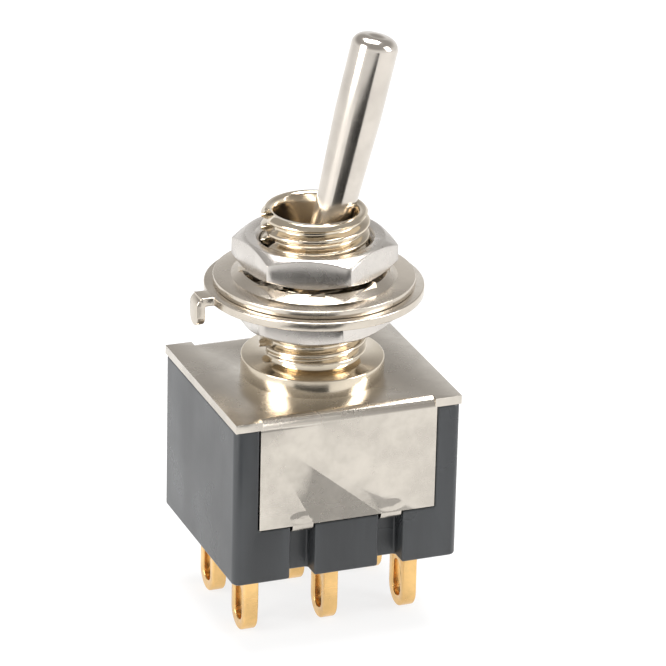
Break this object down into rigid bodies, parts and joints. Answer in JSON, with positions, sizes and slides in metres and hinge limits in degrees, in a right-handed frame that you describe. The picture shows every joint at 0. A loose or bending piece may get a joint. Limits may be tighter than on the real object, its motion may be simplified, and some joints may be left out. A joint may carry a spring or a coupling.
{
  "type": "panel toggle switch",
  "caption": "Miniature panel toggle switch: round lever in a threaded bushing with nuts and washers, on a moulded case with a folded metal frame and solder lugs.",
  "frame": {"origin": "on the bushing's axis, at the top face of the folded frame", "axes": "+Z along the bushing, towards the lever; +X along the row of lugs and the lever's swing, towards the side the lever rests on; the poles lie at -Y and +Y"},
  "size_m": [0.0137, 0.0122, 0.0335],
  "materials": {
    "case_black": "moulded thermoset, semi-gloss",
    "frame_nickel": "nickel-plated steel sheet",
    "bushing_nickel": "nickel-plated turned brass",
    "lever_nickel": "nickel-plated turned brass",
    "slider_nylon": "moulded nylon",
    "plunger_brass": "turned brass",
    "spring_steel": "spring wire",
    "contact_silver": "silver-faced copper alloy",
    "lug_gold": "gold-plated brass",
    "seal_resin": "poured epoxy resin",
    "nut_nickel": "nickel-plated brass",
    "washer_nickel": "nickel-plated spring steel"
  },
  "bodies": {
    "housing": {"case_moulding": "case_black", "frame": "frame_nickel", "bushing": "bushing_nickel", "terminal_seal": "seal_resin", "contact_front_left": "contact_silver", "contact_front_right": "contact_silver", "contact_rear_left": "contact_silver", "contact_rear_right": "contact_silver", "lug_front_left": "lug_gold", "lug_front_middle": "lug_gold", "lug_front_right": "lug_gold", "lug_rear_left": "lug_gold", "lug_rear_middle": "lug_gold", "lug_rear_right": "lug_gold"},
    "lever": {"lever": "lever_nickel"},
    "slider": {"slider": "slider_nylon", "spring_front": "spring_steel", "spring_rear": "spring_steel"},
    "plunger_front": {"plunger_front": "plunger_brass"},
    "plunger_rear": {"plunger_rear": "plunger_brass"},
    "blade_front": {"blade_front": "contact_silver"},
    "blade_rear": {"blade_rear": "contact_silver"},
    "locating_washer": {"locating_washer": "washer_nickel"},
    "lower_nut": {"lower_nut": "nut_nickel"},
    "lock_washer": {"lock_washer": "washer_nickel"},
    "upper_nut": {"upper_nut": "nut_nickel"}
  },
  "joints": [
    {"name": "lever_tilt", "type": "hinge", "parent": "housing", "child": "lever", "pos_m": [0, 0, 0.0047], "axis": [0, 1, 0], "range_deg": [-26, 0]},
    {"name": "slider_travel", "type": "slide", "parent": "housing", "child": "slider", "axis": [1, 0, 0], "range_m": [0, 0.00328]},
    {"name": "blade_front_rock", "type": "hinge", "parent": "housing", "child": "blade_front", "pos_m": [0, -0.0026, -0.00635], "axis": [0, 1, 0], "range_deg": [0, 10]},
    {"name": "blade_rear_rock", "type": "hinge", "parent": "housing", "child": "blade_rear", "pos_m": [0, 0.0026, -0.00635], "axis": [0, 1, 0], "range_deg": [0, 10]},
    {"name": "plunger_front_press", "type": "slide", "parent": "slider", "child": "plunger_front", "axis": [0, 0, 1], "range_m": [0, 0.0004], "stiffness_N_per_m": 300, "springref_m": -0.002, "deforming": ["spring_front"]},
    {"name": "plunger_rear_press", "type": "slide", "parent": "slider", "child": "plunger_rear", "axis": [0, 0, 1], "range_m": [0, 0.0004], "stiffness_N_per_m": 300, "springref_m": -0.002, "deforming": ["spring_rear"]},
    {"name": "locating_washer_slide", "type": "slide", "parent": "housing", "child": "locating_washer", "axis": [0, 0, 1], "range_m": [-0.0015, 0]},
    {"name": "lower_nut_turn", "type": "hinge", "parent": "locating_washer", "child": "lower_nut", "pos_m": [0, 0, 0.004], "axis": [0, 0, 1], "range_deg": [-720, 0]},
    {"name": "lock_washer_slide", "type": "slide", "parent": "housing", "child": "lock_washer", "axis": [0, 0, 1], "range_m": [0, 0.00112]},
    {"name": "upper_nut_turn", "type": "hinge", "parent": "lock_washer", "child": "upper_nut", "pos_m": [0, 0, 0.0074], "axis": [0, 0, 1], "range_deg": [0, 540]}
  ],
  "couplings": [
    {"joint": "lever_tilt", "follows": "slider_travel", "rad_per_m": -138.17},
    {"joint": "blade_front_rock", "follows": "slider_travel", "rad_per_m": 53.141},
    {"joint": "blade_rear_rock", "follows": "slider_travel", "rad_per_m": 53.141},
    {"joint": "lower_nut_turn", "follows": "locating_washer_slide", "rad_per_m": 8377.6},
    {"joint": "upper_nut_turn", "follows": "lock_washer_slide", "rad_per_m": 8377.6}
  ]
}
